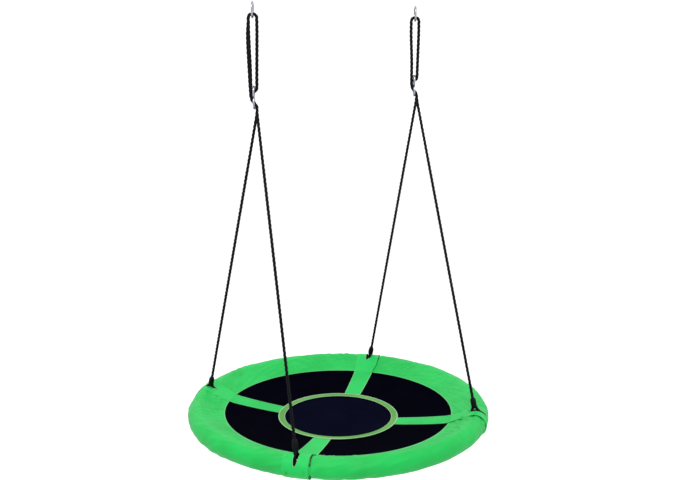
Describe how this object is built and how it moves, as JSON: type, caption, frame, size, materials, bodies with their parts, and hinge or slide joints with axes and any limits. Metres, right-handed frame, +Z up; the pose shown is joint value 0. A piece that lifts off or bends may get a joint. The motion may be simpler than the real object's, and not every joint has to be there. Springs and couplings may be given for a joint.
{
  "type": "saucer nest swing",
  "caption": "Round dished nest swing: padded tube rim, sewn mat with crossing straps, hung on ropes from two rings with figure-eight length adjusters.",
  "frame": {"origin": "midway between the two hanging rings, at the height of the seats inside their tops", "axes": "+Z up, +X from the left ring to the right ring, -Y towards the front"},
  "size_m": [1, 1, 1.368],
  "materials": {
    "tube_steel": "powder coated",
    "bright_steel": "zinc plated",
    "foam": "closed-cell foam",
    "green_cover": "coated woven cloth",
    "green_patch": "coated woven cloth, stitched",
    "green_webbing": "woven webbing",
    "olive_band": "woven binding",
    "black_mat": "padded woven cloth",
    "dark_panel": "padded woven cloth",
    "rope": "braided rope",
    "sleeve": "black sleeve"
  },
  "bodies": {
    "hangers": {"left_ring": "bright_steel", "right_ring": "bright_steel"},
    "bends": {"rope_bend_left_back": "rope", "rope_bend_left_front": "rope", "rope_bend_right_front": "rope", "rope_bend_right_back": "rope"},
    "left_ropes": {"rope_leg_left_back": "rope", "rope_leg_left_front": "rope", "rope_tail_left_back": "rope", "rope_tail_left_front": "rope", "left_adjuster": "bright_steel"},
    "right_ropes": {"rope_leg_right_back": "rope", "rope_leg_right_front": "rope", "rope_tail_right_back": "rope", "rope_tail_right_front": "rope", "right_adjuster": "bright_steel"},
    "saucer": {"centre_band": "olive_band", "centre_panel": "dark_panel", "cover_flap_1": "green_cover", "cover_flap_2": "green_cover", "cover_flap_3": "green_cover", "cover_flap_4": "green_cover", "ferrule_left_back": "sleeve", "ferrule_left_front": "sleeve", "ferrule_right_back": "sleeve", "ferrule_right_front": "sleeve", "foam_1": "foam", "foam_2": "foam", "foam_3": "foam", "foam_4": "foam", "joint_screws": "bright_steel", "mat_panel_1": "black_mat", "mat_panel_2": "black_mat", "mat_panel_3": "black_mat", "mat_panel_4": "black_mat", "patch_left_back": "green_patch", "patch_left_front": "green_patch", "patch_right_back": "green_patch", "patch_right_front": "green_patch", "rim_cover_1": "green_cover", "rim_cover_2": "green_cover", "rim_cover_3": "green_cover", "rim_cover_4": "green_cover", "rim_tube_1": "tube_steel", "rim_tube_2": "tube_steel", "rim_tube_3": "tube_steel", "rim_tube_4": "tube_steel", "rope_eye_left_back": "rope", "rope_eye_left_front": "rope", "rope_eye_right_back": "rope", "rope_eye_right_front": "rope", "strap_left_back": "green_webbing", "strap_left_front": "green_webbing", "strap_right_back": "green_webbing", "strap_right_front": "green_webbing", "tube_spigot_1": "tube_steel", "tube_spigot_2": "tube_steel", "tube_spigot_3": "tube_steel", "tube_spigot_4": "tube_steel"}
  },
  "joints": [
    {"name": "swing", "type": "hinge", "parent": "hangers", "child": "bends", "pos_m": [0, 0, -0.043], "axis": [1, 0, 0], "range_deg": [-40, 40], "deforming": ["rope_bend_left_back", "rope_bend_left_front", "rope_bend_right_front", "rope_bend_right_back"]},
    {"name": "sway_left", "type": "hinge", "parent": "bends", "child": "left_ropes", "pos_m": [-0.292, 0, -0.043], "axis": [0, 1, 0], "range_deg": [-10, 10]},
    {"name": "sway_right", "type": "hinge", "parent": "bends", "child": "right_ropes", "pos_m": [0.292, 0, -0.043], "axis": [0, 1, 0], "range_deg": [-10.5, 10.5]},
    {"name": "saucer_level", "type": "hinge", "parent": "left_ropes", "child": "saucer", "pos_m": [-0.32689, -0.00029, -1.24633], "axis": [0, 1, 0], "range_deg": [-10, 10]}
  ],
  "couplings": [
    {"joint": "sway_right", "follows": "sway_left", "ratio": 1},
    {"joint": "saucer_level", "follows": "sway_left", "ratio": -0.8933}
  ]
}
